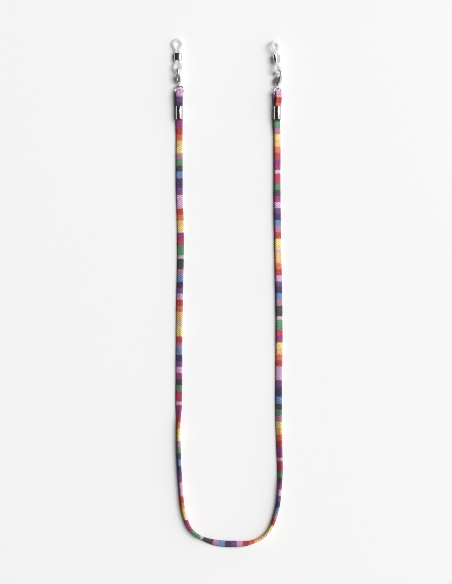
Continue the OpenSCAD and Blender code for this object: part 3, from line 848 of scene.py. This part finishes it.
def make_loop(side):
    """Moulded loop: a round strand, a little fuller at the end of the temple eye."""
    origin, x, y = loop_axes(side)
    path = loop_path()
    fuller = FULLER_EYE * smooth((path[:, 1] - LOOP_L + FULLER_L) / FULLER_L)
    radius = STRAND_R - STRAND_SHRINK + fuller
    parts = Parts().add(sweep, path, Z_AXIS, radius, radius, around=32, closed=True)
    obj = make_object(side + "_loop_strand", parts.mesh(side + "_loop_strand"), silicone)
    obj.data.transform(placed(x, y, origin))
    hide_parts(side + "_silicone_loop")
    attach(obj, side + "_loop")


# ---------------------------------------------------------------- jump rings


def make_ring(side):
    """Round wire closed to a ring, with its cut ends almost touching."""
    across, _ = end_axes(side)
    path = arc_points((0, 0), RING_R, RING_CUT, 360 - RING_CUT, 120)
    parts = Parts().add(sweep, path, Z_AXIS, WIRE_R, WIRE_R, around=24)
    obj = make_object(side + "_ring_wire", parts.mesh(side + "_ring_wire"), ring_nickel)
    obj.data.transform(placed(across, Y_AXIS, node_centre(side + "_jump_ring")))
    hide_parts(side + "_jump_ring")
    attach(obj, side + "_ring")


# ---------------------------------------------------------------- lobster clasps


def smooth_outline(corners, rounds=3):
    """Closed outline with its corners cut again and again until they are round."""
    pts = np.array(corners, float)
    for _ in range(rounds):
        following = np.roll(pts, -1, 0)
        pts = np.stack([0.75 * pts + 0.25 * following, 0.25 * pts + 0.75 * following], 1).reshape(-1, 2)
    return pts


def clasp_body_mesh():
    """Casting in the clasp's own frame: tail eye, neck, two cheeks with a slot between, spine and hook."""
    parts = Parts()
    rim = TAIL_HOLE_R + TAIL_RIM / 2
    parts.add(sweep, arc_points((0, 0), rim, 0, 360, 65)[:-1], Z_AXIS, TAIL_T / 2, TAIL_RIM / 2 + 0.02,
              around=20, closed=True, squareness=2.6)
    neck = np.array([(0, 1.25, 0), (0, 1.7, 0), (0, 2.2, 0), (0, 2.7, 0), (0, 3.3, 0)])
    neck_t = np.array([0.36, 0.4, 0.6, 0.9, 1.05])
    neck_w = np.array([0.5, 0.55, 0.8, 1.1, 1.2])
    parts.add(sweep, neck, Z_AXIS, neck_t, neck_w)
    cheek = smooth_outline([
        (-0.8, 2.0), (0.8, 2.0), (1.9, 3.1), (2.15, 4.6), (2.55, 6.2), (2.5, 7.5), (1.5, 7.5), (1.35, 6.6),
        (0.6, 6.25), (-0.9, 6.4), (-1.9, 5.4), (-2.0, 3.7)])
    for low, high in ((SLOT_T / 2, BODY_T / 2), (-BODY_T / 2, -SLOT_T / 2)):
        parts.add(prism, cheek, low, high)
    web = smooth_outline([
        (1.15, 2.6), (1.6, 2.8), (2.1, 4.6), (2.5, 6.2), (2.45, 7.4), (1.55, 7.4), (1.2, 6.2)], 2)
    floor = smooth_outline([(-1.0, 2.2), (1.0, 2.2), (1.8, 3.3), (-1.5, 3.3)], 2)
    for outline in (web, floor):
        parts.add(prism, outline, -SLOT_T / 2 - 0.1, SLOT_T / 2 + 0.1)
    middle = HOOK_R + HOOK_W / 2
    spine = np.stack([np.full(12, middle), np.linspace(5.6, HOOK_Y, 13)[:-1], np.zeros(12)], 1)
    bow = arc_points((0, HOOK_Y), middle, 0, HOOK_TIP, 48)
    line = np.concatenate([spine, bow])
    to_tip = np.linspace(1, 0, len(line))
    taper = 0.62 + 0.38 * smooth(to_tip / 0.22)
    tip = np.sqrt(np.clip(1 - (1 - np.clip(to_tip / 0.03, 0, 1)) ** 2, 0.02, 1))
    parts.add(sweep, line, Z_AXIS, HOOK_T / 2 * taper * tip, HOOK_W / 2 * (0.2 + 0.8 * taper) * tip,
              squareness=2.3)
    return cast(parts, "clasp_casting", voxel=0.075, rounds=7)


def clasp_lever_mesh():
    """Stamped lever: hub, gate arm that closes the hook, and the thumb tab."""
    lean = math.radians(LEVER_LEAN)
    tip = np.array([-math.sin(lean), math.cos(lean)]) * (LEVER_L - 0.28)
    side = np.array([math.cos(lean), math.sin(lean)])
    low, high = LEVER_Z - LEVER_T / 2, LEVER_Z + LEVER_T / 2
    hub = arc_points((0, 0), LEVER_HUB_R, 0, 360, 33)[:-1, :2]
    arm = smooth_outline([side * 0.55, tip + side * 0.3, tip + side * 0.2 + (-0.1, 0.26), tip - side * 0.25,
                          -side * 0.62], 2)
    tab = smooth_outline([(-0.3, -0.75), (-2.0, 0.2), (-2.75, 0.3), (-2.8, 1.2), (-2.1, 1.3), (-0.7, 1.5),
                          (0.1, 0.6)], 3)
    parts = Parts().add(prism, hub, low, high).add(prism, arm, low, high).add(prism, tab, low, high)
    pad = np.array([(-2.35, 0.75, low + 0.02), (-2.35, 0.75, high - 0.02)])
    parts.add(sweep, pad, X_AXIS, 0.44, 0.44, around=20)
    return cast(parts, "clasp_lever_stamping", voxel=0.06, rounds=4)


def rivet_mesh():
    """Rivet pin with a low domed head on each cheek."""
    half = BODY_T / 2
    angle = np.radians(np.linspace(0, 90, 8))
    dome = np.stack([RIVET_HEAD_R * np.cos(angle), half - 0.01 + RIVET_DOME * np.sin(angle)], 1)
    dome[-1, 0] = 0.02
    under_head = half - 0.04
    profile = np.concatenate([[(RIVET_R, 0), (RIVET_R, under_head), (RIVET_HEAD_R, under_head)], dome])
    mirrored = profile[:0:-1] * (1, -1)
    points, faces = lathe(np.concatenate([profile, mirrored]), around=40)
    return make_mesh("clasp_rivet_pin", points, faces)


def spring_mesh():
    """Torsion spring: one and a half coils round the rivet, a leg on the lever and one on the body."""
    angle = np.linspace(math.radians(-152), math.radians(389), 80)
    height = np.linspace(COIL_LOW, COIL_HIGH, 80)
    coil = np.stack([COIL_R * np.cos(angle), COIL_R * np.sin(angle), height], 1)
    lean = math.radians(LEVER_LEAN)
    along = np.array([-math.sin(lean), math.cos(lean), 0])
    leg = coil[-1] + np.outer(np.linspace(0.12, 1.3, 8), along)
    foot = coil[0] + np.outer(np.linspace(0.75, 0.12, 5), unit(np.array([0.3, -0.9, 0])))
    wire = np.concatenate([foot, coil, leg])
    parts = Parts().add(sweep, wire, Z_AXIS, COIL_WIRE_R, COIL_WIRE_R, around=10)
    return parts.mesh("lever_spring_coil")


def make_clasps():
    pieces = (
        ("_clasp_casting", clasp_body_mesh(), tumbled, 0, "_clasp", "_clasp_body", "clasp_metal"),
        ("_lever_stamping", clasp_lever_mesh(), tumbled, RIVET_Y, "_lever", "_clasp_lever", "lever_metal"),
        ("_rivet_pin", rivet_mesh(), tumbled, RIVET_Y, "_clasp", "_clasp_rivet", "rivet_metal"),
        ("_spring_coil", spring_mesh(), spring_steel, RIVET_Y, "_clasp", "_lever_spring", "spring_steel"),
    )
    for side in SIDES:
        hang, rivet = joint_pos(side + "_clasp_swing"), joint_pos(side + "_lever_press")
        y, z = unit(rivet - hang), -joint_axis(side + "_lever_press")
        x = np.cross(y, z)
        for name, mesh, material, lift, body, node, slot in pieces:
            copied = mesh.copy()
            copied.transform(placed(x, y, hang + (WIRE_OFFSET + lift) * y))
            obj = make_object(side + name, copied, material)
            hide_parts(side + node)
            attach(obj, side + body)


# ---------------------------------------------------------------- studio

VIEW_CENTRE = (0.0, 164.3)
VIEW_HEIGHT = 381.4
LENS, SENSOR = 120, 36
FLOOR_HALF = 12.0
KEY_PLACE, KEY_SIZE, KEY_WATTS = (4.2, 1.68, 6.39), (3.3, 4.8), 520
# Where the light of the surroundings turns from dark to pale, from 0 at -X to 1 at +X
DARK_UPTO, PALE_FROM = 0.58, 0.66
# Width of the picture's pixel filter, which is narrow so that the ribs stay sharp
PIXEL_FILTER = 0.8


def make_floor():
    mesh = make_mesh("floor", [(-FLOOR_HALF, -FLOOR_HALF, 0), (FLOOR_HALF, -FLOOR_HALF, 0),
                               (FLOOR_HALF, FLOOR_HALF, 0), (-FLOOR_HALF, FLOOR_HALF, 0)], [(0, 1, 2, 3)])
    material = bpy.data.materials.new("pale_floor")
    n = Nodes(material)
    n.set(Base_Color=(0.9, 0.9, 0.9, 1), Roughness=0.9, Specular_IOR_Level=0.1)
    make_object("floor", mesh, material)


def make_key_light():
    """One large lamp far to the right, so that the floor is lit evenly."""
    data = bpy.data.lights.new("key", "AREA")
    data.shape = "RECTANGLE"
    data.size, data.size_y = KEY_SIZE
    data.energy = KEY_WATTS
    obj = bpy.data.objects.new("key", data)
    obj.location = KEY_PLACE
    target = Vector((0, VIEW_CENTRE[1] * MM, 0))
    obj.rotation_euler = (target - Vector(KEY_PLACE)).to_track_quat("-Z", "Y").to_euler()
    bpy.context.scene.collection.objects.link(obj)


def make_world():
    """Pale to the camera. For light and reflections, dark towards the left and pale towards the right."""
    world = bpy.data.worlds.new("studio")
    world.use_nodes = True
    tree = world.node_tree
    tree.nodes.clear()
    output = tree.nodes.new("ShaderNodeOutputWorld")
    mix = tree.nodes.new("ShaderNodeMixShader")
    seen = tree.nodes.new("ShaderNodeBackground")
    seen.inputs["Color"].default_value = (0.92, 0.92, 0.92, 1)
    lit = tree.nodes.new("ShaderNodeBackground")
    rays = tree.nodes.new("ShaderNodeLightPath")
    coords = tree.nodes.new("ShaderNodeTexCoord")
    parts = tree.nodes.new("ShaderNodeSeparateXYZ")
    ramp = tree.nodes.new("ShaderNodeValToRGB")
    dark, pale = ramp.color_ramp.elements
    dark.position, pale.position = DARK_UPTO, PALE_FROM
    dark.color = (0.03, 0.03, 0.03, 1)
    pale.color = (1.0, 1.0, 1.0, 1)
    half = tree.nodes.new("ShaderNodeMath")
    half.operation = "MULTIPLY_ADD"
    half.inputs[1].default_value = half.inputs[2].default_value = 0.5
    links = tree.links
    links.new(coords.outputs["Generated"], parts.inputs[0])
    links.new(parts.outputs["X"], half.inputs[0])
    links.new(half.outputs[0], ramp.inputs["Fac"])
    links.new(ramp.outputs["Color"], lit.inputs["Color"])
    lit.inputs["Strength"].default_value = 1.0
    links.new(rays.outputs["Is Camera Ray"], mix.inputs["Fac"])
    links.new(lit.outputs[0], mix.inputs[1])
    links.new(seen.outputs[0], mix.inputs[2])
    links.new(mix.outputs[0], output.inputs["Surface"])
    bpy.context.scene.world = world


def make_camera():
    data = bpy.data.cameras.new("camera")
    data.lens, data.sensor_width = LENS, SENSOR
    data.clip_start, data.clip_end = 0.01, 100
    obj = bpy.data.objects.new("camera", data)
    distance = VIEW_HEIGHT / 2 / (SENSOR / 2 / LENS)
    obj.location = (VIEW_CENTRE[0] * MM, VIEW_CENTRE[1] * MM, distance * MM)
    bpy.context.scene.collection.objects.link(obj)
    bpy.context.scene.camera = obj


def make_studio():
    make_floor()
    make_world()
    make_key_light()
    make_camera()
    view = bpy.context.scene.view_settings
    view.view_transform = "Standard"
    view.look = "None"
    # Without these two settings the denoiser wipes out the ribs
    cycles = bpy.context.scene.cycles
    cycles.filter_width = PIXEL_FILTER
    cycles.denoising_prefilter = "NONE"


# ---------------------------------------------------------------- build

make_cord()
for side in SIDES:
    make_sleeve(side)
    make_ring(side)
    make_loop(side)
    make_ferrule(side)
make_clasps()
make_studio()
